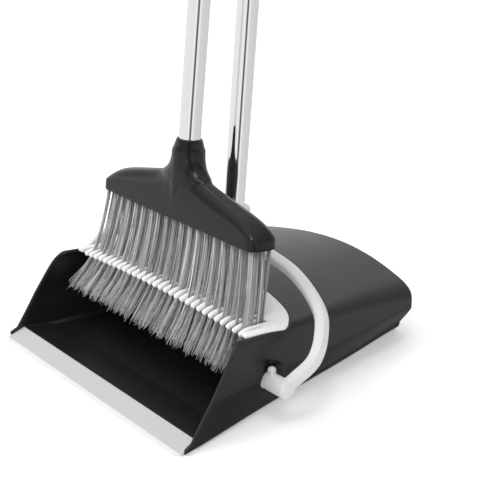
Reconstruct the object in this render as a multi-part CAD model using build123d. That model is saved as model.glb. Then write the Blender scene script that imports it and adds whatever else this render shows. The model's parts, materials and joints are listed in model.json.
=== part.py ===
from build123d import *
import os
from math import atan2, cos, exp, hypot, radians, sin

# An upright dust pan and broom that store together.
# Frame: X across the mouth, Y from the lip to the rear, Z up, floor at Z = 0.
# The origin is on the floor, under the front line of the mouth's side walls.

# ---- Driving dimensions, mm ----
PAN_WIDTH = 273.0            # the rubber lip, between the tips of the side walls
PAN_LENGTH = 300.0           # front line of the walls to the rear, at the middle
PAN_REAR_WIDTH = 232.0       # over the ridges, near the rear corners
FOOT_REAR_WIDTH = 190.0      # across the floor there
ROOF_FRONT = 78.0            # roof height at the sides of the mouth
ROOF_REAR = 55.0             # roof height at the sides of the rear
RIDGE_HEIGHT = 36.0          # crease between the side wall and the roof
WALL = 2.6                   # pan wall thickness
TOOTH_COUNT = 30             # comb teeth between the two end arms
TOOTH_LENGTH = 46.0          # longest tooth, tip to root
PIVOT_Y = 90.0               # trunnion axis, behind the front line
PIVOT_Z = 34.0
HANDLE_LEAN = 5.9            # degrees that the handle leans back at rest
BROOM_LEAN = 7.0             # degrees that the broom leans back at rest
TUBE_DIAMETER = 19.0         # every pole tube
TUBE_WALL = 1.0
TUBE_PITCH = 256.0           # from one joint of the broom's pole to the next
HANDLE_PITCH = 258.0         # the same on the handle
FIRST_TUBE = 261.0           # seen length of the handle's lowest tube
LAST_TUBE = 223.0            # seen length of its highest tube
BROOM_HEAD_LENGTH = 219.0
BROOM_HEAD_DEPTH = 29.0
BRISTLE_LENGTH = 97.0        # head to tip, along the pole

# ---- Sizes that follow from them ----
MOUTH_HALF = PAN_WIDTH / 2
TUBE_R = TUBE_DIAMETER / 2
LIP_DEPTH = 15.5             # front line to the back of the rubber lip
LIP_RISE = 7.0
LIP_FEATHER = 5.0            # thin edge in front of the front line
CORNER_R = 15.0              # rear corners, seen from above
BOTTOM_R = 8.0               # between the floor and the side walls, at the rear
FRONT_BOTTOM_R = 3.4
BOTTOM_BLEND = 80.0          # length over which it grows
FRONT_SHOULDER = 5.0         # ridge to the edge of the roof, seen from above
REAR_SHOULDER = 38.5
NOSE = 2.5                   # front line to the tips of the side walls
SHOULDER_Y = 74.0            # where the wall's front edge reaches the roof
SHOULDER_R = 40.0            # rounding of the front edge there
TIP_Y = 76.0                 # tooth tips
COMB_HALF = MOUTH_HALF - 10.0
ROOT_Y = TIP_Y + TOOTH_LENGTH
BAND_DEPTH = 28.0            # comb band behind the tooth roots
COMB_THICKNESS = 3.6
COMB_INSET = 1.8             # how deep the comb sits in the roof
ARM_WIDTH = 7.4              # end arms of the comb at their tips
END_SLOT = 2.2               # slot beside each end arm
TOOTH_SHARE = 0.49           # tooth width over pitch
COMB_BOW = 15.0              # how far the outer teeth's roots lie ahead of the middle
EAR_R = 6.0                  # outer corners of the band
EAR_SWEEP = 33.0             # how far those corners lie ahead of the band's middle
FIELD_R = 20.0               # inner corners of the band
LEDGE = 7.0                  # roof opening behind the tooth roots
CROWN = 4.6                  # rise of the roof from its sides to its middle, at the front
REAR_CROWN = 7.2
TAPER_LENGTH = PAN_LENGTH - 12.0
REAR_CORNER_Y = PAN_LENGTH - 16.0
TONGUE = 1.8
NUB_DEPTH = 6.0
NUB_HEIGHT = 5.5
NUB_STAND = 2.4              # mouth's edge to the middle of the nub
FIT = 0.3                    # gap between bodies that move on each other
TRUNNION_R = 7.8
YOKE_REACH = 24.0            # how far the trunnions stand out past the mouth
YOKE_BAR_R = 6.2
SOCKET_R = 15.0
SOCKET_LENGTH = 43.0
COUPLER_LENGTH = 44.0
COUPLER_R = TUBE_R + 1.9
STUD_R = TUBE_R - TUBE_WALL
STUD_LENGTH = 70.0
TUBE_INSERT = 20.0           # tube length hidden in each socket
HEAD_HEIGHT = 70.0
HEAD_CORE = 10.0             # half width of the level part inside the neck
HEAD_STATIONS = 10
HEAD_TOP = 42.4              # height of the slope's line at the middle
HEAD_FALL = 0.205            # how fast it falls towards the end
HEAD_FLARE = 12.0            # rise where it sweeps up into the neck
HEAD_FLARE_LENGTH = 8.0
HEAD_END_DROP = 12.0
HEAD_SIDE = 10.0             # straight height of the head's front and back
NECK_R = 14.6
BLOCK_DEPTH = 12.0           # tuft block let into the head
LOCK_WIDTH = 3.0
GRIP_R = TUBE_R + 2.7        # collar of each grip
BROOM_GRIP_LENGTH = 152.0
HANG_HOLE_R = 7.5
CLIP_HEIGHT = 13.0
GRIP_BORE = 50.0             # how far each grip's tube goes in
HANG_TAB = 20.0              # thickness of the grip around its hanging hole

# ---- Where the poles stand ----
HANDLE_BASE = Location((0, PIVOT_Y + 73.8, PIVOT_Z + 86.0), (-HANDLE_LEAN, 0, 0))
BROOM_BASE = Location((0, TIP_Y + 33.0, ROOF_FRONT + 55.0), (-BROOM_LEAN, 0, 0))
HANDLE_TUBES = 3
BROOM_TUBES = 4
SOCKET_TOP = 11.0            # socket top above the handle's base point
HANDLE_FIRST = SOCKET_TOP + FIRST_TUBE   # bottom of the handle's first coupler
BROOM_FIRST = HEAD_HEIGHT + FIRST_TUBE - 15.0   # bottom of the broom's first coupler
HANDLE_LAST = HANDLE_FIRST + HANDLE_PITCH + COUPLER_LENGTH + LAST_TUBE
BROOM_LAST = BROOM_FIRST + 2 * TUBE_PITCH + COUPLER_LENGTH + LAST_TUBE + 4.0


os.makedirs("parts", exist_ok=True)


def save(name, shape):
    shape.label = name
    export_step(shape, f"parts/{name}.step")


def flip(p):
    """The same point on the other side of the middle."""
    return (-p[0], p[1])


# ---- Pan ----
def side_x(y):
    """Outside half width of the pan at its ridge."""
    front = MOUTH_HALF + 2.5
    return front - (front - PAN_REAR_WIDTH / 2) * (max(y, 0) / TAPER_LENGTH) ** 1.4


def foot_x(y):
    """Outside half width of the pan where it meets the floor."""
    front = MOUTH_HALF + 4.0
    return front - (front - FOOT_REAR_WIDTH / 2) * max(y, 0) / TAPER_LENGTH


def pan_section(y, inset):
    """The pan's cross-section at y, pulled in by inset."""
    back = max(0, y) / PAN_LENGTH
    crown = CROWN + (REAR_CROWN - CROWN) * back
    ridge = side_x(y) - inset
    foot = foot_x(y) - inset
    shoulder = ridge - FRONT_SHOULDER - (REAR_SHOULDER - FRONT_SHOULDER) * back ** 2
    shoulder_z = ROOF_FRONT + (ROOF_REAR - ROOF_FRONT) * back ** 1.14 - inset
    slope = 2 * crown / shoulder
    reach = 0.45 * (ridge - shoulder)
    grown = min(1, max(0, y) / BOTTOM_BLEND)
    round_r = FRONT_BOTTOM_R + (BOTTOM_R - FRONT_BOTTOM_R) * grown - inset
    cut = round_r * (1 - cos(radians(45)))
    floor_end = (foot - round_r, inset)
    round_middle = (foot - cut, inset + cut)
    wall_start = (foot, inset + round_r)
    crease = (ridge, RIDGE_HEIGHT)
    roof_edge = (shoulder, shoulder_z)
    rise = shoulder_z - RIDGE_HEIGHT
    pull_up = (ridge - 0.12 * (ridge - shoulder), RIDGE_HEIGHT + 0.8 * rise)
    pull_in = (shoulder + reach, shoulder_z - slope * reach)

    edges = Curve() + [
        Line(flip(floor_end), floor_end),
        ThreePointArc(floor_end, round_middle, wall_start),
        Line(wall_start, crease),
        Bezier(crease, pull_up, pull_in, roof_edge),
        ThreePointArc(roof_edge, (0, shoulder_z + crown), flip(roof_edge)),
        Bezier(flip(roof_edge), flip(pull_in), flip(pull_up), flip(crease)),
        Line(flip(crease), flip(wall_start)),
        ThreePointArc(flip(wall_start), flip(round_middle), flip(floor_end)),
    ]
    plane = Plane(origin=(0, y, 0), x_dir=(1, 0, 0), z_dir=(0, -1, 0))
    return plane * make_face(edges)


def pan_form(inset):
    """The pan's outer form, or its hollow when inset is the wall thickness."""
    stations = [-20, 40, 0.3 * PAN_LENGTH, 0.5 * PAN_LENGTH, 0.73 * PAN_LENGTH, PAN_LENGTH + 12]
    body = loft([pan_section(y, inset) for y in stations])
    half = side_x(REAR_CORNER_Y) - inset + 0.5
    front = MOUTH_HALF + 30
    corner_y = REAR_CORNER_Y - inset
    plan = make_face(Curve() + [
        Line((-front, -25), (front, -25)),
        Line((front, -25), (half, corner_y)),
        ThreePointArc((half, corner_y), (0, PAN_LENGTH - inset), (-half, corner_y)),
        Line((-half, corner_y), (-front, -25)),
    ])
    corners = [v for v in plan.vertices() if v.Y > 0]
    plan = fillet(corners, CORNER_R - inset)
    return body & extrude(plan, amount=200)


def comb_outline(gap=0.0):
    """The comb seen from above, without its slots."""
    half = COMB_HALF + gap
    back = ROOT_Y + BAND_DEPTH + gap
    ear = (half, back - EAR_SWEEP)
    bend = (0.83 * half, back - 0.44 * EAR_SWEEP)
    flat = (0.55 * half, back - 0.12 * EAR_SWEEP)

    edges = Curve() + [
        Line(flip(ear), (-half, TIP_Y)),
        Line((-half, TIP_Y), (half, TIP_Y)),
        Line((half, TIP_Y), ear),
        Spline(ear, bend, flat, (0, back), tangents=((-0.64, 0.76), (-1, 0))),
        Spline((0, back), flip(flat), flip(bend), flip(ear), tangents=((-1, 0), (-0.64, -0.76))),
    ]
    outline = make_face(edges)
    ears = [v for v in outline.vertices() if v.Y > TIP_Y + 1 and abs(v.X) > 1]
    return fillet(ears, EAR_R)


def slot_field(gap=0.0):
    """The area of the comb's slots, grown backwards by gap."""
    half = COMB_HALF - ARM_WIDTH
    back = ROOT_Y + gap
    front = TIP_Y - 30
    edges = Curve() + [
        Line((-half, back - COMB_BOW), (-half, front)),
        Line((-half, front), (half, front)),
        Line((half, front), (half, back - COMB_BOW)),
        ThreePointArc((half, back - COMB_BOW), (0, back), (-half, back - COMB_BOW)),
    ]
    field = make_face(edges)
    ends = [v for v in field.vertices() if v.Y > TIP_Y]
    return fillet(ends, FIELD_R)


def tooth_pitch():
    """The end slots are narrower than the slots between the teeth."""
    half = COMB_HALF - ARM_WIDTH
    return (half - END_SLOT) / ((TOOTH_COUNT - 1 + TOOTH_SHARE) / 2)


def root_y(x):
    """Where the slot at x ends."""
    half = COMB_HALF - ARM_WIDTH
    arc = ROOT_Y - COMB_BOW * (x / half) ** 2
    into_corner = max(0.0, abs(x) - (half - FIELD_R))
    return arc - (FIELD_R - (FIELD_R ** 2 - into_corner ** 2) ** 0.5)


def pan_shell():
    shell = pan_form(0) - pan_form(WALL)
    reach = MOUTH_HALF + 10
    above = ROOF_FRONT + 1
    side_view = make_face(Plane.YZ * Polyline(
        (NOSE, 0), (NOSE, 4.5), (9.5, 7.5), (SHOULDER_Y - 13, above), (SHOULDER_Y + 14, above),
        (SHOULDER_Y + 14, 120), (PAN_LENGTH + 20, 120), (PAN_LENGTH + 20, 0), close=True,
    ))
    shoulder = [v for v in side_view.vertices() if abs(v.Y - SHOULDER_Y + 13) < 1]
    side_view = fillet(shoulder, SHOULDER_R)
    nose = [v for v in side_view.vertices() if v.Y < 11 and v.Z > 1]
    side_view = fillet(nose, 1.8)
    shell &= extrude(side_view, amount=reach, both=True)
    # the roof stops behind the slots, and is let in under the comb
    mouth = Pos(0, (TIP_Y - 30) / 2, 80) * Box(2 * COMB_HALF, TIP_Y + 30, 100)
    shell -= mouth
    shell -= Pos(0, 0, 50) * extrude(slot_field(LEDGE), amount=60)
    let_in = Pos(0, 0, 50) * extrude(comb_outline(0.1), amount=60)
    shell -= let_in - pan_form(COMB_INSET)
    # a ramp up to the lip, and the tongue that holds it
    shell -= extrude(lip_plan(0.1), amount=15)
    ramp = make_face(Plane.YZ * Polyline(
        (LIP_DEPTH, 0), (LIP_DEPTH, LIP_RISE), (LIP_DEPTH + 34, WALL), (LIP_DEPTH + 34, 0), close=True,
    ))
    shell += extrude(ramp, amount=MOUTH_HALF + 3, both=True) & pan_form(0)
    shell += lip_tongue()
    for side in (-1, 1):
        shell += trunnion_boss(side)
        shell += stop_rib(side)
        shell -= Pos(side * MOUTH_HALF, PIVOT_Y, PIVOT_Z) * trunnion_hole()
    return shell


def trunnion_hole():
    return Rot(0, 90, 0) * Cylinder(TRUNNION_R + 0.08, 60)


def trunnion_boss(side):
    """The thick round bearing inside the wall."""
    boss = Pos(side * (MOUTH_HALF - 8), PIVOT_Y, PIVOT_Z) * Rot(0, 90, 0) * Cylinder(TRUNNION_R + 4, 12)
    return boss & pan_form(0)


def stop_rib(side):
    """Stands behind the nub of the trunnion, and so holds the handle up."""
    face = PIVOT_Y + NUB_DEPTH / 2 + 0.05
    rib = Box(11, 6, 12)
    return Pos(side * (side_x(PIVOT_Y) + 3.5), face + 3, PIVOT_Z + TRUNNION_R + 1) * rib


def lip_plan(gap=0.0):
    """The lip seen from above. It narrows a little to fit between the walls."""
    front = MOUTH_HALF + gap
    back = foot_x(LIP_DEPTH) - WALL - 0.4 + gap
    tip = front - LIP_FEATHER
    return make_face(Polyline(
        (-tip, -LIP_FEATHER - gap), (tip, -LIP_FEATHER - gap), (front, 0), (back, LIP_DEPTH),
        (-back, LIP_DEPTH), (-front, 0), close=True,
    ))


def lip_tongue():
    """Runs forward from the floor into the lip."""
    return Pos(0, LIP_DEPTH - 5, 2.4) * Box(2 * MOUTH_HALF - 12, 10.2, TONGUE)


def lip_strip():
    section = make_face(Plane.YZ * Polyline(
        (-LIP_FEATHER, 0), (-LIP_FEATHER, 0.5), (0, 1.4), (LIP_DEPTH, LIP_RISE), (LIP_DEPTH, 0), close=True,
    ))
    strip = extrude(section, amount=MOUTH_HALF, both=True) & extrude(lip_plan(), amount=15)
    return strip - lip_tongue()


def comb():
    pitch = tooth_pitch()
    width = pitch * TOOTH_SHARE
    plan = comb_outline() - slot_field()
    for i in range(TOOTH_COUNT):
        x = (i - (TOOTH_COUNT - 1) / 2) * pitch
        length = root_y(x) - TIP_Y + 4
        plan += Pos(x, TIP_Y + length / 2) * RectangleRounded(width, length, width * 0.49)
    sheet = pan_form(COMB_INSET - COMB_THICKNESS) - pan_form(COMB_INSET)
    return sheet & Pos(0, 0, 50) * extrude(plan, amount=60)


# ---- Yoke and pan handle ----
def handle_at(z):
    return HANDLE_BASE * Pos(0, 0, z)


def broom_at(z):
    return BROOM_BASE * Pos(0, 0, z)


def yoke_bar():
    """One half of the arch, from the trunnion to the middle."""
    top = handle_at(SOCKET_TOP - 29.5).position
    height = hypot(top.Y - PIVOT_Y, top.Z - PIVOT_Z)
    tilt = atan2(top.Y - PIVOT_Y, top.Z - PIVOT_Z)
    plane = Plane(origin=(0, PIVOT_Y, PIVOT_Z), x_dir=(1, 0, 0), z_dir=(0, -cos(tilt), sin(tilt)))
    half = MOUTH_HALF + YOKE_REACH + 2.0
    foot = MOUTH_HALF + YOKE_REACH - 7.0
    route = Spline(
        (foot, 0.035 * height), (half - 5.5, 0.12 * height), (half, 0.318 * height),
        (half - 8.3, 0.529 * height), (half * 0.8375, 0.721 * height),
        (half * 0.577, 0.905 * height), (0, height),
        tangents=((0.5, 1.0), (-1, 0)),
    )
    path = plane * route
    across = Plane(origin=path @ 0, z_dir=path % 0, x_dir=plane.z_dir)
    return sweep(across * Ellipse(YOKE_BAR_R * 0.9, YOKE_BAR_R), path=path)


def yoke():
    half = yoke_bar()
    trunnion_length = YOKE_REACH + 12
    centre = MOUTH_HALF + YOKE_REACH - trunnion_length / 2
    trunnion = Cylinder(TRUNNION_R, trunnion_length)
    trunnion = fillet(trunnion.edges().sort_by(Axis.Z)[-1], 2.5)
    half += Pos(centre, PIVOT_Y, PIVOT_Z) * Rot(0, 90, 0) * trunnion
    nub_x = MOUTH_HALF + NUB_STAND
    nub = fillet(Box(NUB_DEPTH, NUB_DEPTH, 2 * NUB_HEIGHT).edges().filter_by(Axis.Z), 1.5)
    half += Pos(nub_x, PIVOT_Y, PIVOT_Z + TRUNNION_R) * nub
    whole = half + mirror(half, about=Plane.YZ)
    socket = handle_at(SOCKET_TOP - SOCKET_LENGTH / 2) * Cylinder(SOCKET_R, SOCKET_LENGTH)
    socket = fillet(socket.edges(), 2.0)
    whole += socket
    whole -= handle_at(SOCKET_TOP - TUBE_INSERT / 2) * Cylinder(TUBE_R, TUBE_INSERT)
    whole -= handle_at(SOCKET_TOP - TUBE_INSERT - 7) * Cylinder(STUD_R, 16)
    return whole


def tube(low, high):
    """A pole tube between two heights along the pole."""
    length = high - low
    return Pos(0, 0, low + length / 2) * (Cylinder(TUBE_R, length) - Cylinder(TUBE_R - TUBE_WALL, length + 2))


def coupler(low):
    """A sleeve that two tubes screw into."""
    sleeve = Cylinder(COUPLER_R, COUPLER_LENGTH)
    sleeve = fillet(sleeve.edges(), 1.2)
    for end in (-1, 1):
        sleeve -= Pos(0, 0, end * COUPLER_LENGTH / 2) * Cylinder(TUBE_R, 2 * TUBE_INSERT)
    sleeve -= Cylinder(STUD_R, COUPLER_LENGTH)
    return Pos(0, 0, low + COUPLER_LENGTH / 2) * sleeve


def stud(middle, length=STUD_LENGTH):
    """The threaded plug inside a joint."""
    plug = Cylinder(STUD_R, length)
    plug = chamfer(plug.edges(), 1.0)
    return Pos(0, 0, middle) * (plug - Cylinder(STUD_R - 3, length + 2))


def pole(base, first, pitches, last, bottom):
    """Tubes, couplers and studs of one pole, as lists."""
    tubes, couplers, studs = [], [], []
    low = bottom
    start = first
    for pitch in pitches + [None]:
        if pitch is None:
            tubes.append(base * tube(low, last + GRIP_BORE - 1))
            break
        tubes.append(base * tube(low, start + TUBE_INSERT))
        couplers.append(base * coupler(start))
        studs.append(base * stud(start + COUPLER_LENGTH / 2))
        low = start + COUPLER_LENGTH - TUBE_INSERT
        start += pitch
    return tubes, couplers, studs


def handle_grip():
    """Collar, elbow and an arm that points to the rear, with a ball at its end."""
    rise = 60.0
    arm = 100.0
    slope = radians(30)
    end = (0, arm * cos(slope), rise + arm * sin(slope))
    path = FilletPolyline((0, 0, 0), (0, 0, rise), end, radius=26)
    grip = sweep(Plane(origin=(0, 0, 0), z_dir=(0, 0, 1)) * Circle(GRIP_R), path=path)
    grip += Pos(*end) * Sphere(GRIP_R + 5)
    spur = Pos(0, -4, rise + 4) * Rot(28, 0, 0) * Cone(7.0, 3.0, 22)
    grip += spur
    grip += Pos(0, 0, 3) * Cylinder(GRIP_R + 1.2, 6)
    grip -= Pos(0, 0, GRIP_BORE / 2) * Cylinder(TUBE_R, GRIP_BORE)
    return handle_at(HANDLE_LAST) * grip


def storage_clip():
    """A ring on the handle with an open jaw that the broom's tube snaps into."""
    ring_at = HANDLE_LAST - CLIP_HEIGHT / 2 - 1
    here = handle_at(ring_at)
    there = broom_at(ring_at + (here.position - broom_at(ring_at).position).Z)
    span = (here.position - there.position).length
    wall = 3.0
    ring = here * Cylinder(TUBE_R + wall, CLIP_HEIGHT)
    jaw = there * Cylinder(TUBE_R + FIT + wall, CLIP_HEIGHT)
    bridge = here * Pos(0, -span / 2, 0) * Box(9, span, CLIP_HEIGHT)
    clip = ring + jaw + bridge
    clip -= here * Cylinder(TUBE_R, CLIP_HEIGHT * 2)
    clip -= there * Cylinder(TUBE_R + FIT, CLIP_HEIGHT * 2)
    clip -= there * Pos(0, -TUBE_DIAMETER, 0) * Box(TUBE_DIAMETER * 0.8, 2 * TUBE_DIAMETER, CLIP_HEIGHT * 2)
    return clip


# ---- Broom ----
def head_height(x):
    """Height of the head's top at x: a slope that rises to the neck and drops at the end."""
    flare = HEAD_FLARE * exp(-(x - HEAD_CORE) / HEAD_FLARE_LENGTH)
    end = HEAD_END_DROP * (2 * x / BROOM_HEAD_LENGTH) ** 12
    return HEAD_TOP - HEAD_FALL * x + flare - end


def head_section(x, height):
    """The head's cross-section at x: straight sides and a rounded top."""
    deep = BROOM_HEAD_DEPTH / 2
    side = min(HEAD_SIDE, 0.5 * height)
    top = (0, height)
    edges = Curve() + [
        Line((-deep, 0), (deep, 0)),
        Line((deep, 0), (deep, side)),
        Bezier((deep, side), (deep, 0.75 * height), (0.6 * deep, height), top),
        Bezier(top, (-0.6 * deep, height), (-deep, 0.75 * height), (-deep, side)),
        Line((-deep, side), (-deep, 0)),
    ]
    return Plane(origin=(x, 0, 0), x_dir=(0, 1, 0), z_dir=(1, 0, 0)) * make_face(edges)


def head_cover():
    half = BROOM_HEAD_LENGTH / 2
    stations = [HEAD_CORE + (half - HEAD_CORE) * i / HEAD_STATIONS for i in range(HEAD_STATIONS + 1)]
    side = loft([head_section(x, head_height(x)) for x in stations])
    core = extrude(head_section(HEAD_CORE, head_height(HEAD_CORE)), amount=-2 * HEAD_CORE)
    block = side + mirror(side, about=Plane.YZ) + core
    block &= extrude(RectangleRounded(BROOM_HEAD_LENGTH, BROOM_HEAD_DEPTH, 9), amount=60)
    neck_side = Curve() + [
        Line((0, 12), (NECK_R, 12)),
        Line((NECK_R, 12), (NECK_R, 60)),
        Line((NECK_R, 60), (NECK_R - 1.2, 62)),
        Line((NECK_R - 1.2, 62), (TUBE_R + 1.6, HEAD_HEIGHT)),
        Line((TUBE_R + 1.6, HEAD_HEIGHT), (0, HEAD_HEIGHT)),
        Line((0, HEAD_HEIGHT), (0, 12)),
    ]
    neck = revolve(Plane.XZ * make_face(neck_side), Axis.Z)
    slab = Box(100, BROOM_HEAD_DEPTH + 0.2, 300)
    head = block + (neck & slab)
    head -= Pos(0, 0, BLOCK_DEPTH / 2) * Box(2 * half - 12, BROOM_HEAD_DEPTH - 7, BLOCK_DEPTH)
    head -= Pos(0, 0, HEAD_HEIGHT - TUBE_INSERT / 2) * Cylinder(TUBE_R, TUBE_INSERT)
    head -= Pos(0, 0, HEAD_HEIGHT - TUBE_INSERT - 7) * Cylinder(STUD_R, 16)
    return BROOM_BASE * head


def bristle_block():
    half = BROOM_HEAD_LENGTH / 2
    block = Pos(0, 0, BLOCK_DEPTH / 2) * Box(2 * half - 12.2, BROOM_HEAD_DEPTH - 7.2, BLOCK_DEPTH - 0.1)
    return BROOM_BASE * block


def bristle_row(row):
    """Locks of filament, one through each slot. Row 0 is at the front."""
    locks = []
    for i in range(TOOTH_COUNT - 1):
        slot_x = (i - (TOOTH_COUNT - 2) / 2) * tooth_pitch()
        root = broom_at(0) * Pos(slot_x * 0.81, (row - 1) * 7.5, 0)
        deepest = min(root_y(slot_x) - 4, TIP_Y + 36)
        slot_y = TIP_Y + 4 + row * (deepest - TIP_Y - 4) / 2
        low = BROOM_BASE.position.Z - BRISTLE_LENGTH * 0.92
        spread = (row - 1) * 8.0
        stations = [
            (slot_x, slot_y, ROOF_FRONT + CROWN + 3, LOCK_WIDTH),
            (slot_x, slot_y - 1.5, ROOF_FRONT - 6, LOCK_WIDTH),
            (slot_x * 1.015, TIP_Y + 1 + spread * 2.2, low, LOCK_WIDTH * 0.8),
        ]
        sections = [root * Rectangle(LOCK_WIDTH, LOCK_WIDTH)]
        sections += [Pos(x, y, z) * Rectangle(w, w) for x, y, z, w in stations]
        locks.append(loft(sections, ruled=True))
    return Compound(locks)


def broom_grip():
    waist = (GRIP_R - 1.2, 40)
    palm = (GRIP_R - 0.2, 95)
    swell = (GRIP_R + 3.3, BROOM_GRIP_LENGTH - 24)
    shoulder = (GRIP_R + 0.8, BROOM_GRIP_LENGTH - 6)
    profile = Curve() + [
        Line((0, 0), (GRIP_R, 0)),
        Line((GRIP_R, 0), (GRIP_R, 4)),
        Spline((GRIP_R, 4), waist, palm, swell, tangents=((-0.2, 1), (0.1, 1))),
        Spline(swell, shoulder, (0, BROOM_GRIP_LENGTH), tangents=((0, 1), (-1, 0))),
        Line((0, BROOM_GRIP_LENGTH), (0, 0)),
    ]
    grip = revolve(Plane.XZ * make_face(profile), Axis.Z)
    flat = BROOM_GRIP_LENGTH - 48
    for side in (-1, 1):
        grip -= Pos(0, side * (HANG_TAB / 2 + 10), flat + 50) * Box(60, 20, 100)
    grip -= Pos(0, 0, BROOM_GRIP_LENGTH - 22) * Rot(90, 0, 0) * Cylinder(HANG_HOLE_R, 60)
    grip -= Pos(0, 0, GRIP_BORE / 2) * Cylinder(TUBE_R, GRIP_BORE)
    return broom_at(BROOM_LAST) * grip


save("pan_shell", pan_shell())
save("lip_strip", lip_strip())
save("comb", comb())
save("yoke", yoke())
save("yoke_stud", handle_at(SOCKET_TOP - TUBE_INSERT + 8) * stud(0, 45))
save("handle_grip", handle_grip())
save("storage_clip", storage_clip())
handle_tubes, handle_couplers, handle_studs = pole(
    HANDLE_BASE, HANDLE_FIRST, [HANDLE_PITCH] * (HANDLE_TUBES - 1), HANDLE_LAST, SOCKET_TOP - TUBE_INSERT)
broom_tubes, broom_couplers, broom_studs = pole(
    BROOM_BASE, BROOM_FIRST, [TUBE_PITCH] * (BROOM_TUBES - 1), BROOM_LAST, HEAD_HEIGHT - TUBE_INSERT)
for pole_name, tubes, couplers, studs in (
    ("handle", handle_tubes, handle_couplers, handle_studs),
    ("broom", broom_tubes, broom_couplers, broom_studs),
):
    for number, shape in enumerate(tubes, 1):
        save(f"{pole_name}_tube_{number}", shape)
    for number, shape in enumerate(couplers, 1):
        save(f"{pole_name}_coupler_{number}", shape)
    for number, shape in enumerate(studs, 1):
        save(f"{pole_name}_stud_{number}", shape)
save("head_cover", head_cover())
save("bristle_block", bristle_block())
save("head_stud", broom_at(HEAD_HEIGHT - TUBE_INSERT + 8) * stud(0, 45))
for row, name in enumerate(("front", "middle", "back")):
    save(f"bristles_{name}", bristle_row(row))
save("broom_grip", broom_grip())
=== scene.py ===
import bpy
import bmesh
import json
import random
from math import atan2, cos, hypot, pi, radians, sin, sqrt
from mathutils import Matrix, Vector


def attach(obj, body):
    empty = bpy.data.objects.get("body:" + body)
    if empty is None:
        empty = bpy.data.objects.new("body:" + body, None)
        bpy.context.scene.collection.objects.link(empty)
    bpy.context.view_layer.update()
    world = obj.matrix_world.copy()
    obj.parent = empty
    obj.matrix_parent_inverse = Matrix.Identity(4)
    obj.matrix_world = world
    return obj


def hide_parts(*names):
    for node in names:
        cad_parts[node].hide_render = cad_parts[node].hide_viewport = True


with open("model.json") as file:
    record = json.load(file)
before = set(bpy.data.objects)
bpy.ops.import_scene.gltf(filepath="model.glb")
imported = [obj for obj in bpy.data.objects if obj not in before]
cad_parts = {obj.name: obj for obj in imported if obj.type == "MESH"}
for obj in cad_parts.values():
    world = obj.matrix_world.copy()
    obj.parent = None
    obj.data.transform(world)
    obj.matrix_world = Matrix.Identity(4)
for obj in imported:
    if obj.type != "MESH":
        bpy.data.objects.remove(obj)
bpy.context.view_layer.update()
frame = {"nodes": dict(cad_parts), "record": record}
NODES = frame["nodes"]

MM = 0.001

# ---- Camera ----
CAMERA_AT = (0.7341, -0.4239, 0.4633)
CAMERA_AZIMUTH = 49.13
CAMERA_PITCH = 22.80
CAMERA_LENS = 79.42
CAMERA_SHIFT = (-0.04606, 0.03834)

# ---- Sizes shared with the CAD model, mm ----
PAN_LENGTH = 300.0
MOUTH_HALF = 136.5
TIP_Y = 76.0
ROOT_Y = 122.0
BAND_DEPTH = 28.0
COMB_HALF = MOUTH_HALF - 10.0
ARM_WIDTH = 7.4
END_SLOT = 2.2
TOOTH_COUNT = 30
TOOTH_SHARE = 0.49
COMB_BOW = 15.0
FIELD_R = 20.0
EAR_SWEEP = 33.0
PIVOT = (90.0, 34.0)
TRUNNION_R = 7.8
HEAD_AT = (109.0, 133.0)
BROOM_LEAN = radians(7.0)
HANDLE_AT = (163.8, 120.0)
HANDLE_LEAN = radians(5.9)


# ---- Helpers ----
def new_object(name, verts, faces):
    mesh = bpy.data.meshes.new(name)
    mesh.from_pydata([tuple(c * MM for c in v) for v in verts], [], faces)
    mesh.update()
    mesh.polygons.foreach_set("use_smooth", [True] * len(mesh.polygons))
    obj = bpy.data.objects.new(name, mesh)
    bpy.context.scene.collection.objects.link(obj)
    return obj


def join(name, parts):
    """One mesh out of several lists of verts and faces."""
    verts, faces = [], []
    for v, f in parts:
        base = len(verts)
        verts += v
        faces += [tuple(i + base for i in face) for face in f]
    return new_object(name, verts, faces)


def apply_modifiers(obj):
    depsgraph = bpy.context.evaluated_depsgraph_get()
    mesh = bpy.data.meshes.new_from_object(obj.evaluated_get(depsgraph))
    old = obj.data
    obj.modifiers.clear()
    obj.data = mesh
    bpy.data.meshes.remove(old)
    mesh.polygons.foreach_set("use_smooth", [True] * len(mesh.polygons))
    return obj


def remesh(obj, voxel_mm, smooth_steps):
    """Melts overlapping shells into one closed skin with small fillets."""
    m = obj.modifiers.new("remesh", "REMESH")
    m.mode = "VOXEL"
    m.voxel_size = voxel_mm * MM
    s = obj.modifiers.new("smooth", "SMOOTH")
    s.factor = 0.5
    s.iterations = smooth_steps
    return apply_modifiers(obj)


def ring_tube(rings):
    """Skins a list of rings that all have the same number of points, with closed ends."""
    n = len(rings[0])
    verts = [p for ring in rings for p in ring]
    faces = []
    for k in range(len(rings) - 1):
        a, b = k * n, (k + 1) * n
        for i in range(n):
            j = (i + 1) % n
            faces.append((a + i, a + j, b + j, b + i))
    last = (len(rings) - 1) * n
    faces.append(tuple(range(n - 1, -1, -1)))
    faces.append(tuple(range(last, last + n)))
    return verts, faces


def lathe(profile, matrix):
    """Turns (radius, height) pairs about the local Z of matrix."""
    steps = 40
    rings = []
    for r, h in profile:
        ring = []
        for i in range(steps):
            a = 2 * pi * i / steps
            ring.append(tuple(matrix @ Vector((r * cos(a), r * sin(a), h))))
        rings.append(ring)
    return ring_tube(rings)


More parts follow.
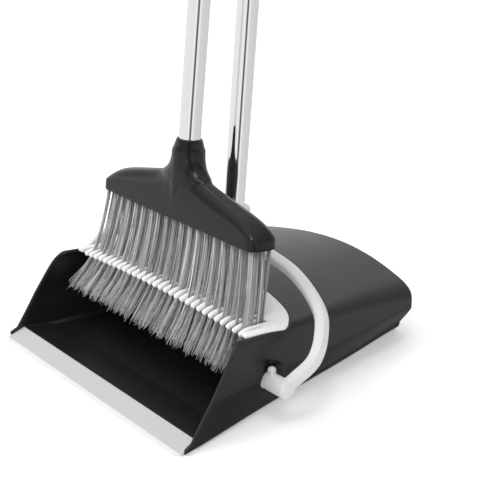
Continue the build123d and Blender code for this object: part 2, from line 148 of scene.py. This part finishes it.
def spline_points(keys, steps):
    """A Catmull-Rom curve through the keys."""
    pts = [Vector(k) for k in keys]
    pts = [2 * pts[0] - pts[1]] + pts + [2 * pts[-1] - pts[-2]]
    out = []
    for i in range(1, len(pts) - 2):
        p0, p1, p2, p3 = pts[i - 1:i + 3]
        for s in range(steps):
            t = s / steps
            out.append(0.5 * ((2 * p1) + (p2 - p0) * t + (2 * p0 - 5 * p1 + 4 * p2 - p3) * t ** 2
                              + (3 * p1 - p0 - 3 * p2 + p3) * t ** 3))
    out.append(pts[-2])
    return out


# ---- The pan's roof, as in the CAD model ----
def roof_z(x, y):
    back = max(0.0, y) / PAN_LENGTH
    crown = 4.6 + (7.2 - 4.6) * back
    front = MOUTH_HALF + 2.5
    ridge = front - (front - 116.0) * (max(0.0, y) / (PAN_LENGTH - 12.0)) ** 1.4
    shoulder = ridge - 5.0 - 33.5 * back ** 2
    shoulder_z = 78.0 + (55.0 - 78.0) * back ** 1.14
    x = abs(x)
    if x <= shoulder:
        return shoulder_z + crown * (1 - (x / shoulder) ** 2)
    rise = shoulder_z - 36.0
    slope = 2 * crown / shoulder
    reach = 0.45 * (ridge - shoulder)
    p = ((ridge, 36.0), (ridge - 0.12 * (ridge - shoulder), 36.0 + 0.8 * rise),
         (shoulder + reach, shoulder_z - slope * reach), (shoulder, shoulder_z))
    lo, hi = 0.0, 1.0
    for _ in range(24):
        t = (lo + hi) / 2
        k = ((1 - t) ** 3, 3 * t * (1 - t) ** 2, 3 * t * t * (1 - t), t ** 3)
        if sum(w * q[0] for w, q in zip(k, p)) > x:
            lo = t
        else:
            hi = t
    return sum(w * q[1] for w, q in zip(k, p))


def tooth_pitch():
    return (COMB_HALF - ARM_WIDTH - END_SLOT) / ((TOOTH_COUNT - 1 + TOOTH_SHARE) / 2)


def root_y(x):
    half = COMB_HALF - ARM_WIDTH
    arc = ROOT_Y - COMB_BOW * (x / half) ** 2
    into_corner = min(FIELD_R, max(0.0, abs(x) - (half - FIELD_R)))
    return arc - (FIELD_R - sqrt(FIELD_R ** 2 - into_corner ** 2))


# ---- Materials ----
def material(name):
    m = bpy.data.materials.new(name)
    m.use_nodes = True
    return m, m.node_tree.nodes, m.node_tree.links, m.node_tree.nodes["Principled BSDF"]


def grain(nodes, links, scale, detail=4.0):
    """Noise in the piece's own coordinates."""
    coords = nodes.new("ShaderNodeTexCoord")
    noise = nodes.new("ShaderNodeTexNoise")
    noise.inputs["Scale"].default_value = scale
    noise.inputs["Detail"].default_value = detail
    links.new(coords.outputs["Object"], noise.inputs["Vector"])
    return noise


def ramp(nodes, links, source, stops):
    r = nodes.new("ShaderNodeValToRGB")
    while len(r.color_ramp.elements) < len(stops):
        r.color_ramp.elements.new(0.5)
    for e, (at, value) in zip(r.color_ramp.elements, stops):
        e.position = at
        e.color = (value, value, value, 1) if isinstance(value, float) else (*value, 1)
    links.new(source, r.inputs["Fac"])
    return r


def roughen(nodes, links, shader, texture, strength, distance):
    """Raises the surface by a texture, in metres."""
    bumps = nodes.new("ShaderNodeBump")
    bumps.inputs["Strength"].default_value = strength
    bumps.inputs["Distance"].default_value = distance
    links.new(texture.outputs["Fac"], bumps.inputs["Height"])
    links.new(bumps.outputs["Normal"], shader.inputs["Normal"])
    return bumps


def plastic(name, colour, roughness, fleck=0.06, bump=0.08, bump_scale=1400.0, edge_mm=0.6, specular=0.5):
    """Moulded plastic: fine grain, uneven gloss, soft edges."""
    m, nodes, links, shader = material(name)
    tone = grain(nodes, links, 18.0)
    low = tuple(c * (1 - fleck) for c in colour)
    high = tuple(min(1.0, c * (1 + fleck)) for c in colour)
    colours = ramp(nodes, links, tone.outputs["Fac"], ((0.3, low), (0.7, high)))
    links.new(colours.outputs["Color"], shader.inputs["Base Color"])
    gloss = grain(nodes, links, 55.0)
    rough = ramp(nodes, links, gloss.outputs["Fac"],
                 ((0.3, roughness * 0.92), (0.7, min(1.0, roughness * 1.08))))
    links.new(rough.outputs["Color"], shader.inputs["Roughness"])
    texture = grain(nodes, links, bump_scale, 2.0)
    bumps = roughen(nodes, links, shader, texture, bump, 0.0002)
    if edge_mm:
        edge = nodes.new("ShaderNodeBevel")
        edge.inputs["Radius"].default_value = edge_mm * MM
        edge.samples = 4
        links.new(edge.outputs["Normal"], bumps.inputs["Normal"])
    shader.inputs["Specular IOR Level"].default_value = specular
    return m


def steel():
    """Polished tube: drawn along its length, so the gloss varies in long streaks."""
    m, nodes, links, shader = material("steel_polished")
    shader.inputs["Metallic"].default_value = 1.0
    coords = nodes.new("ShaderNodeTexCoord")
    stretch = nodes.new("ShaderNodeMapping")
    stretch.inputs["Scale"].default_value = (900.0, 900.0, 12.0)
    links.new(coords.outputs["Object"], stretch.inputs["Vector"])
    noise = nodes.new("ShaderNodeTexNoise")
    noise.inputs["Scale"].default_value = 1.0
    noise.inputs["Detail"].default_value = 3.0
    links.new(stretch.outputs["Vector"], noise.inputs["Vector"])
    rough = ramp(nodes, links, noise.outputs["Fac"], ((0.3, 0.05), (0.75, 0.09)))
    links.new(rough.outputs["Color"], shader.inputs["Roughness"])
    tone = ramp(nodes, links, noise.outputs["Fac"],
                ((0.3, (0.88, 0.885, 0.89)), (0.7, (0.91, 0.91, 0.915))))
    links.new(tone.outputs["Color"], shader.inputs["Base Color"])
    return m


def rubber():
    """Soft grey strip, paler in a narrow band along its front edge."""
    m, nodes, links, shader = material("rubber_grey")
    coords = nodes.new("ShaderNodeTexCoord")
    split = nodes.new("ShaderNodeSeparateXYZ")
    links.new(coords.outputs["Object"], split.inputs["Vector"])
    along = nodes.new("ShaderNodeMapRange")
    along.inputs["From Min"].default_value = -5 * MM
    along.inputs["From Max"].default_value = 3 * MM
    links.new(split.outputs["Y"], along.inputs["Value"])
    tone = ramp(nodes, links, along.outputs["Result"],
                ((0.45, (0.86, 0.86, 0.86)), (0.62, (0.57, 0.57, 0.575))))
    speck = grain(nodes, links, 260.0)
    mix = nodes.new("ShaderNodeMix")
    mix.data_type = "RGBA"
    mix.blend_type = "MULTIPLY"
    mix.inputs["Factor"].default_value = 1.0
    shade = ramp(nodes, links, speck.outputs["Fac"], ((0.3, 0.95), (0.7, 1.0)))
    links.new(tone.outputs["Color"], mix.inputs["A"])
    links.new(shade.outputs["Color"], mix.inputs["B"])
    links.new(mix.outputs["Result"], shader.inputs["Base Color"])
    gloss = ramp(nodes, links, speck.outputs["Fac"], ((0.3, 0.5), (0.7, 0.62)))
    links.new(gloss.outputs["Color"], shader.inputs["Roughness"])
    roughen(nodes, links, shader, speck, 0.15, 0.0002)
    return m


def fibre():
    """Grey filament. Each strand has its own tone, kept in the mesh."""
    m, nodes, links, shader = material("filament_grey")
    strand = nodes.new("ShaderNodeAttribute")
    strand.attribute_name = "strand_tone"
    tone = ramp(nodes, links, strand.outputs["Fac"],
                ((0.0, (0.26, 0.26, 0.265)), (0.35, (0.50, 0.50, 0.505)),
                 (0.7, (0.77, 0.77, 0.775)), (1.0, (0.95, 0.95, 0.95))))
    links.new(tone.outputs["Color"], shader.inputs["Base Color"])
    speck = grain(nodes, links, 900.0)
    gloss = ramp(nodes, links, speck.outputs["Fac"], ((0.3, 0.34), (0.7, 0.46)))
    links.new(gloss.outputs["Color"], shader.inputs["Roughness"])
    roughen(nodes, links, shader, speck, 0.1, 0.0001)
    return m


BLACK = plastic("plastic_black", (0.010, 0.010, 0.011), 0.30, fleck=0.15, bump=0.04, edge_mm=3.0)
BLACK_HEAD = plastic("plastic_black_head", (0.007, 0.007, 0.008), 0.24, fleck=0.15, bump=0.02,
                     edge_mm=0.0, specular=0.36)
BLACK_GRIP = plastic("plastic_black_grip", (0.012, 0.012, 0.013), 0.42, fleck=0.15, bump=0.2,
                     bump_scale=900.0)
WHITE = plastic("plastic_white", (0.95, 0.95, 0.95), 0.32, fleck=0.02, edge_mm=0.0)
PALE = plastic("plastic_pale", (0.73, 0.73, 0.735), 0.30, fleck=0.02, edge_mm=0.0)
COUPLER = plastic("plastic_coupler", (0.80, 0.80, 0.80), 0.3, fleck=0.02, edge_mm=0.5)
PLUG = plastic("plastic_plug", (0.5, 0.5, 0.5), 0.5)
STEEL = steel()
RUBBER = rubber()
FIBRE = fibre()

SLOT_MATERIALS = {
    "black_shell": BLACK, "grey_rubber": RUBBER, "white_plastic": WHITE, "pale_plastic": PALE,
    "black_grip": BLACK_GRIP, "black_clip": BLACK_GRIP, "black_head": BLACK_HEAD,
    "block_plastic": BLACK_GRIP, "polished_steel": STEEL, "white_coupler": COUPLER,
    "stud_plastic": PLUG, "bristle_fibre": FIBRE,
}


def dress(obj, slot_name):
    obj.data.materials.clear()
    obj.data.materials.append(SLOT_MATERIALS[slot_name])


for part in frame["record"]["subparts"]:
    node = NODES[part["node"]]
    if not node.material_slots:
        node.data.materials.append(None)
    for material_slot in node.material_slots:
        material_slot.material = SLOT_MATERIALS[part["material_slot"]]


# ---- Comb ----
TOOTH_HALF_DEPTH = 2.3
TOOTH_SHOWN_SHARE = 0.55     # a shown tooth's width, as a share of the pitch
TOOTH_STEPS = 16
TOOTH_SIDES = 14
DROOP = 3.0                  # how far a tooth's tip hangs below the roof's line
CORNER_STEPS = 12
BAND_STEPS = 30
EAR_STEPS = 30               # points of the outer edge that belong to the ear's corner


def squared(value):
    """A cosine or sine pushed outward, so that a circle becomes a rounded square."""
    return abs(value) ** 0.8 * (1 if value >= 0 else -1)


def tooth_ring(x, y, z, slope, width, scale):
    """One rounded-rectangular section across a tooth."""
    ring = []
    for k in range(TOOTH_SIDES):
        a = 2 * pi * k / TOOTH_SIDES
        u = squared(cos(a)) * width / 2 * scale
        v = squared(sin(a)) * TOOTH_HALF_DEPTH * scale
        ring.append((x + u, y - v * sin(slope), z + v * cos(slope)))
    return ring


def comb_tooth(x, width):
    """A rounded finger that leaves the band level and droops at its tip."""
    end = root_y(x) + 5.0
    keys = []
    for i in range(TOOTH_STEPS + 1):
        t = i / TOOTH_STEPS
        y = TIP_Y + 1.6 + (end - TIP_Y - 1.6) * t ** 1.5
        droop = DROOP * max(0.0, 1 - (y - TIP_Y) / 11.0) ** 1.6
        keys.append((y, roof_z(x, y) - 0.1 - droop))
    rings = []
    for i, (y, z) in enumerate(keys):
        ahead = keys[min(i + 1, TOOTH_STEPS)]
        behind = keys[max(i - 1, 0)]
        slope = atan2(ahead[1] - behind[1], ahead[0] - behind[0])
        swell = 1.0 + 0.10 * max(0.0, 1 - (y - TIP_Y) / 10.0)
        rings.append(tooth_ring(x, y, z, slope, width * swell, 1.0))
    nose = []
    y, z = keys[0]
    slope = atan2(keys[1][1] - z, keys[1][0] - y)
    for angle in (75, 50, 25):
        c, s = cos(radians(angle)), sin(radians(angle))
        ahead = 2.0 * s
        at_y, at_z = y - ahead * cos(slope), z - ahead * sin(slope)
        nose.append(tooth_ring(x, at_y, at_z, slope, width * 1.08, c))
    return ring_tube(nose + rings)


def comb_plate():
    """Band, ears and end arms: a strip from the slots' edge to the outer edge."""
    half = COMB_HALF - ARM_WIDTH
    back = ROOT_Y + BAND_DEPTH
    ear_y = back - EAR_SWEEP
    inner, outer = [], []
    corner_y = ROOT_Y - COMB_BOW * ((half - FIELD_R) / half) ** 2 - FIELD_R
    arm_steps = 10
    for i in range(arm_steps + 1):
        t = i / arm_steps
        inner.append((half, TIP_Y + (corner_y - TIP_Y) * t))
        outer.append((COMB_HALF, TIP_Y + (ear_y - 6 - TIP_Y) * t))
    ear = spline_points([(COMB_HALF, ear_y - 6), (COMB_HALF - 0.9, ear_y - 0.6), (COMB_HALF - 5.0, ear_y + 6.0),
                         (0.83 * COMB_HALF, back - 0.44 * EAR_SWEEP), (0.55 * COMB_HALF, back - 0.12 * EAR_SWEEP),
                         (0.25 * COMB_HALF, back - 0.8), (0, back)], 10)
    for i in range(1, CORNER_STEPS + 1):
        a = radians(90 * i / CORNER_STEPS)
        inner.append((half - FIELD_R + FIELD_R * cos(a), corner_y + FIELD_R * sin(a)))
        outer.append(tuple(ear[int(EAR_STEPS * i / CORNER_STEPS)]))
    for i in range(1, BAND_STEPS + 1):
        x = (half - FIELD_R) * (1 - i / BAND_STEPS)
        inner.append((x, root_y(x)))
        outer.append(tuple(ear[EAR_STEPS + i]))
    inner = inner + [(-x, y) for x, y in reversed(inner[:-1])]
    outer = outer + [(-x, y) for x, y in reversed(outer[:-1])]
    # rim profile across the strip: share of the way out, offset from the edge, height
    r = 0.9
    top, low = 1.9, -1.7
    profile = [(0, 0.0, low), (0, 0.0, 0.6), (0, 0.25, top - 0.35), (0, r, top), (0.5, 0, top),
               (1, -r, top), (1, -0.25, top - 0.35), (1, 0.0, 0.6), (1, 0.0, low)]
    rings = []
    for p, q in zip(inner, outer):
        across = Vector((q[0] - p[0], q[1] - p[1]))
        length = across.length
        across.normalize()
        ring = []
        for share, shift, height in profile:
            d = share * length + shift
            x, y = p[0] + across.x * d, p[1] + across.y * d
            ring.append((x, y, roof_z(x, y) + height))
        rings.append(ring)
    # rounded fronts of the two arms
    for end in (0, -1):
        ring = rings[end]
        centre = sum((Vector(v) for v in ring), Vector()) / len(ring)
        caps = []
        for push, shrink in ((0.9, 0.9), (1.5, 0.62)):
            ahead = Vector((0, push, 0))
            caps.append([tuple(centre + (Vector(v) - centre) * shrink - ahead) for v in ring])
        rings = (list(reversed(caps)) + rings) if end == 0 else (rings + caps)
    return ring_tube(rings)


def comb():
    pitch = tooth_pitch()
    parts = [comb_plate()]
    for i in range(TOOTH_COUNT):
        parts.append(comb_tooth((i - (TOOTH_COUNT - 1) / 2) * pitch, pitch * TOOTH_SHOWN_SHARE))
    obj = join("comb_rounded", parts)
    dress(obj, "white_plastic")
    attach(obj, "pan")
    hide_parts("comb")


# ---- Yoke ----
YOKE_HALF = 162.5
SOCKET_FOOT = 18.5           # pole's start down to the arch's top
TRUNNION_FROM = 124.5        # inner end of a trunnion
NUB_AT = 138.9
NUB_HALF = 3.0
# radius against the trunnion's own, and distance from its inner end: a groove lies at 10 to 13 mm
TRUNNION_PROFILE = ((-0.5, 0), (0, 0.6), (0, 9.6), (-0.8, 10.4), (-0.8, 11.0), (-0.2, 12.0), (0, 13.4),
                    (0, 32.6), (-0.5, 34.4), (-1.7, 35.6), (-3.2, 36.0))
SOCKET_PROFILE = ((12.6, -32.0), (14.4, -31.2), (15.0, -29.8), (15.0, 9.0), (14.4, 10.6), (13.2, 11.0))
# height above the pivot and share of the full section
NUB_PROFILE = ((0, 1.05), (TRUNNION_R + 3.6, 1.0), (TRUNNION_R + 5.0, 0.86), (TRUNNION_R + 5.5, 0.6))
NUB_SECTION = ((-0.7, -1), (0.7, -1), (1, -0.7), (1, 0.7), (0.7, 1), (-0.7, 1), (-1, 0.7), (-1, -0.7))
# across the bar: in the arch's plane, out of it; the front face is raised to a soft crest
BAR_SECTION = ((-5.6, -4.2), (-4.4, -5.6), (4.2, -5.6), (5.8, -4.0), (6.1, 1.0), (4.8, 3.6), (-0.6, 5.6),
               (-2.4, 5.2), (-5.4, 0.6))


def yoke():
    handle = Matrix.Translation((0, *HANDLE_AT)) @ Matrix.Rotation(-HANDLE_LEAN, 4, "X")
    top = handle @ Vector((0, 0, -SOCKET_FOOT))
    tilt = atan2(top.y - PIVOT[0], top.z - PIVOT[1])
    height = hypot(top.y - PIVOT[0], top.z - PIVOT[1])
    keys = [(YOKE_HALF - 9.0, 0.035), (YOKE_HALF - 5.5, 0.12), (YOKE_HALF, 0.318), (YOKE_HALF - 8.3, 0.529),
            (YOKE_HALF * 0.8375, 0.721), (YOKE_HALF * 0.577, 0.905), (YOKE_HALF * 0.28, 0.98), (0, 1.0)]
    flat = spline_points([(across, share * height, 0) for across, share in keys], 10)
    flat = flat + [Vector((-p.x, p.y, 0)) for p in reversed(flat[:-1])]
    up = Vector((0, sin(tilt), cos(tilt)))
    out = Vector((0, -cos(tilt), sin(tilt)))
    rings = []
    for i, p in enumerate(flat):
        a, b = flat[max(i - 1, 0)], flat[min(i + 1, len(flat) - 1)]
        t = (b - a).normalized()
        n = Vector((t.y, -t.x, 0))
        ring = []
        for s, w in BAR_SECTION:
            q = p + n * s
            ring.append(tuple(Vector((q.x, PIVOT[0], PIVOT[1])) + up * q.y + out * w))
        rings.append(ring)
    parts = [ring_tube(rings)]
    for side in (-1, 1):
        turn = Matrix.Translation((side * TRUNNION_FROM, *PIVOT)) @ Matrix.Rotation(side * pi / 2, 4, "Y")
        parts.append(lathe([(TRUNNION_R + r, h) for r, h in TRUNNION_PROFILE], turn))
        nub = Matrix.Translation((side * NUB_AT, *PIVOT))
        block = []
        for h, share in NUB_PROFILE:
            size = NUB_HALF * share
            block.append([tuple(nub @ Vector((x * size, y * size, h))) for x, y in NUB_SECTION])
        parts.append(ring_tube(block))
    parts.append(lathe(SOCKET_PROFILE, handle))
    obj = join("yoke_moulded", parts)
    remesh(obj, 0.7, 2)
    dress(obj, "pale_plastic")
    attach(obj, "handle")
    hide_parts("yoke")


# ---- Bristles ----
TUFTS = 19
TUFT_PITCH = 11.4
TUFT_R = 1.8
STRANDS = 30
STRAND_SIDES = 3
# for each row: place across the head, place in the slots, tip place, tip height, node replaced
ROWS = ((-10.0, 83.5, 60.5, 43.0, "bristles_front"), (-4.0, 90.5, 70.0, 40.0, "bristles_middle"),
        (3.0, 99.0, 82.0, 38.0, None), (9.5, 108.5, 97.0, 37.0, "bristles_back"))


def strand(points, radius):
    """A thin rod along the points, which tapers to its tip."""
    rings = []
    last = len(points) - 1
    for i, p in enumerate(points):
        a, b = points[max(i - 1, 0)], points[min(i + 1, last)]
        t = (b - a).normalized()
        u = t.cross(Vector((1, 0.2, 0))).normalized()
        v = t.cross(u)
        r = radius * (1 - 0.35 * i / last)
        angles = [2 * pi * k / STRAND_SIDES for k in range(STRAND_SIDES)]
        rings.append([tuple(p + (u * cos(a) + v * sin(a)) * r) for a in angles])
    return ring_tube(rings)


def hermite(p0, m0, p1, m1, steps):
    """Points of a cubic from p0 to p1 that leaves along m0 and arrives along m1, without its end."""
    out = []
    for i in range(steps):
        t = i / steps
        out.append(p0 * (2 * t ** 3 - 3 * t ** 2 + 1) + m0 * (t ** 3 - 2 * t ** 2 + t)
                   + p1 * (3 * t ** 2 - 2 * t ** 3) + m1 * (t ** 3 - t ** 2))
    return out


def bristles():
    """Rows of strands, each from the head through the nearest slot of the comb to its tip."""
    rng = random.Random(7)
    pitch = tooth_pitch()
    slots = TOOTH_COUNT - 1
    for number, (across, slot_y, tip_y, tip_z, replaced) in enumerate(ROWS):
        parts, tones = [], []
        for tuft in range(TUFTS):
            tuft_x = (tuft - (TUFTS - 1) / 2) * TUFT_PITCH
            tuft_tone = rng.uniform(-0.12, 0.12)
            fan = rng.uniform(-1.0, 1.0)
            for _ in range(STRANDS):
                a, d = rng.uniform(0, 2 * pi), TUFT_R * sqrt(rng.random())
                ox, oy = d * cos(a), d * sin(a)
                lx, ly = tuft_x + ox, across + oy
                root = Vector((lx, HEAD_AT[0] + ly * cos(BROOM_LEAN) - 0.5 * sin(BROOM_LEAN),
                               HEAD_AT[1] - ly * sin(BROOM_LEAN) + 1.0))
                wide = tuft_x * 1.09 + ox * 2.0 + fan
                index = round(wide / pitch + (slots - 1) / 2)
                index = max(0, min(slots - 1, index))
                slot_x = (index - (slots - 1) / 2) * pitch
                off_middle = (wide - slot_x) * 0.42 + rng.uniform(-0.4, 0.4)
                mid_x = slot_x + max(-1.5, min(1.5, off_middle))
                mid_y = min(slot_y + oy * 1.1 + rng.uniform(-1.2, 1.2), root_y(slot_x) - 2.0)
                mid = Vector((mid_x, mid_y, roof_z(slot_x, mid_y)))
                splay = 1.0 + 0.07 * rng.uniform(0.6, 1.3)
                tip = Vector((mid_x * splay + rng.uniform(-2.2, 2.2),
                              tip_y + oy * 1.5 + rng.uniform(-3.0, 3.0),
                              tip_z + rng.uniform(-3.5, 3.5)))
                fall = root.z - mid.z
                drop = mid.z - tip.z
                m0 = Vector((0.8 * (mid.x - root.x), 0.6 * (mid.y - root.y), -fall))
                ahead = tip.y - mid.y
                m1 = Vector((mid.x - root.x, 0.7 * (mid.y - root.y) + 0.45 * ahead, -fall * 0.9))
                m1b = m1 * (drop / fall)
                m2 = Vector((tip.x - mid.x, 1.1 * ahead, -drop * 0.9))
                points = hermite(root, m0, mid, m1, 6) + hermite(mid, m1b, tip, m2, 4) + [tip]
                parts.append(strand(points, rng.uniform(0.22, 0.34)))
                # the mean tone drops row by row, so the back rows are darker
                tone = min(1.0, max(0.0, rng.gauss(0.62 - 0.13 * number, 0.30) + tuft_tone))
                tones += [tone] * (len(points) * STRAND_SIDES)
        obj = join(f"bristle_row_{number + 1}", parts)
        layer = obj.data.attributes.new("strand_tone", "FLOAT", "POINT")
        layer.data.foreach_set("value", tones)
        dress(obj, "bristle_fibre")
        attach(obj, "broom")
        if replaced:
            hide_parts(replaced)


# ---- Broom head ----
# half width and height above the head's own zero
FLARE = ((31, 32), (29, 38.5), (24, 41.5), (19.6, 45.5), (16.6, 50.5), (14.8, 56))
FLARE_HALF_DEPTH = 14.3
FLARE_SIDES = 48


def head():
    """The head with its neck melted into it, as one moulding."""
    source = NODES["head_cover"].data
    verts = [tuple(c / MM for c in v.co) for v in source.vertices]
    faces = [tuple(p.vertices) for p in source.polygons]
    flare = []
    at_head = Matrix.Translation((0, *HEAD_AT)) @ Matrix.Rotation(-BROOM_LEAN, 4, "X")
    angles = [2 * pi * i / FLARE_SIDES for i in range(FLARE_SIDES)]
    for wide, high in FLARE:
        flare.append([tuple(at_head @ Vector((wide * cos(a), FLARE_HALF_DEPTH * sin(a), high))) for a in angles])
    more, sides = ring_tube(flare)
    faces += [tuple(i + len(verts) for i in face) for face in sides]
    verts += more
    obj = new_object("head_moulded", verts, faces)
    weld = bmesh.new()
    weld.from_mesh(obj.data)
    bmesh.ops.remove_doubles(weld, verts=weld.verts, dist=0.00001)
    weld.to_mesh(obj.data)
    weld.free()
    remesh(obj, 1.0, 10)
    dress(obj, "black_head")
    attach(obj, "broom")
    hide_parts("head_cover")


comb()
yoke()
head()
bristles()


# ---- Floor, light and camera ----
def floor():
    half = 6.0
    mesh = bpy.data.meshes.new("floor")
    mesh.from_pydata([(-half, -half, 0), (half, -half, 0), (half, half, 0), (-half, half, 0)], [], [(0, 1, 2, 3)])
    obj = bpy.data.objects.new("floor", mesh)
    bpy.context.scene.collection.objects.link(obj)
    obj.location.z = -0.0006     # just under the pan, so that the two faces don't flicker
    obj.visible_glossy = False
    m, nodes, links, shader = material("floor_white")
    shader.inputs["Base Color"].default_value = (0.93, 0.93, 0.93, 1)
    shader.inputs["Roughness"].default_value = 0.9
    shader.inputs["Emission Color"].default_value = (1, 1, 1, 1)
    shader.inputs["Emission Strength"].default_value = 0.33
    mesh.materials.append(m)


def light(name, at, target, size, watts):
    data = bpy.data.lights.new(name, "AREA")
    data.shape = "RECTANGLE"
    data.size, data.size_y = size
    data.energy = watts
    obj = bpy.data.objects.new(name, data)
    bpy.context.scene.collection.objects.link(obj)
    obj.location = at
    obj.rotation_euler = (Vector(at) - Vector(target)).to_track_quat("Z", "Y").to_euler()
    return obj


def sky():
    """A white studio with one dark gap behind the viewer, which draws the dark line down the tubes."""
    world = bpy.data.worlds.new("studio")
    bpy.context.scene.world = world
    world.use_nodes = True
    nodes, links = world.node_tree.nodes, world.node_tree.links
    background = nodes["Background"]
    coords = nodes.new("ShaderNodeTexCoord")
    split = nodes.new("ShaderNodeSeparateXYZ")
    links.new(coords.outputs["Generated"], split.inputs["Vector"])
    angle = nodes.new("ShaderNodeMath")
    angle.operation = "ARCTAN2"
    links.new(split.outputs["Y"], angle.inputs[0])
    links.new(split.outputs["X"], angle.inputs[1])
    turn = nodes.new("ShaderNodeMapRange")
    turn.inputs["From Min"].default_value = -pi
    turn.inputs["From Max"].default_value = pi
    links.new(angle.outputs["Value"], turn.inputs["Value"])

    def at(degrees):
        return (degrees + 180) / 360

    around = ramp(nodes, links, turn.outputs["Result"], (
        (at(-180), 0.9), (at(-70), 0.86), (at(-52), 1.0), (at(-42), 0.12), (at(-31), 0.12),
        (at(-21), 1.0), (at(0), 0.72), (at(85), 0.66), (at(120), 0.8), (at(180), 0.9)))
    height = nodes.new("ShaderNodeMapRange")
    height.inputs["From Min"].default_value = -1.0
    links.new(split.outputs["Z"], height.inputs["Value"])
    up = ramp(nodes, links, height.outputs["Result"], (
        (0.0, 0.25), (0.24, 0.25), (0.30, 1.0), (0.56, 1.0),
        (0.60, 1.6), (0.66, 0.75), (0.74, 0.45), (0.92, 1.2)))
    mix = nodes.new("ShaderNodeMix")
    mix.data_type = "RGBA"
    mix.blend_type = "MULTIPLY"
    mix.inputs["Factor"].default_value = 1.0
    links.new(around.outputs["Color"], mix.inputs["A"])
    links.new(up.outputs["Color"], mix.inputs["B"])
    path = nodes.new("ShaderNodeLightPath")
    seen = nodes.new("ShaderNodeMix")
    seen.data_type = "RGBA"
    links.new(path.outputs["Is Camera Ray"], seen.inputs["Factor"])
    links.new(mix.outputs["Result"], seen.inputs["A"])
    seen.inputs["B"].default_value = (1, 1, 1, 1)
    links.new(seen.outputs["Result"], background.inputs["Color"])
    background.inputs["Strength"].default_value = 1.0


def camera():
    data = bpy.data.cameras.new("camera")
    data.sensor_width = 36
    data.lens = CAMERA_LENS
    data.shift_x, data.shift_y = CAMERA_SHIFT
    obj = bpy.data.objects.new("camera", data)
    bpy.context.scene.collection.objects.link(obj)
    obj.location = CAMERA_AT
    obj.rotation_euler = (radians(90 - CAMERA_PITCH), 0, radians(CAMERA_AZIMUTH))
    bpy.context.scene.camera = obj


floor()
sky()
key = light("key", (-0.9, -1.0, 1.7), (0.0, 0.1, 0.05), (1.6, 1.6), 19.0)
key.visible_glossy = False
light("glint", (0.62, -0.36, 2.1), (0.05, 0.1, 0.17), (0.5, 0.5), 6.0)
camera()
bpy.context.scene.view_settings.view_transform = "Standard"
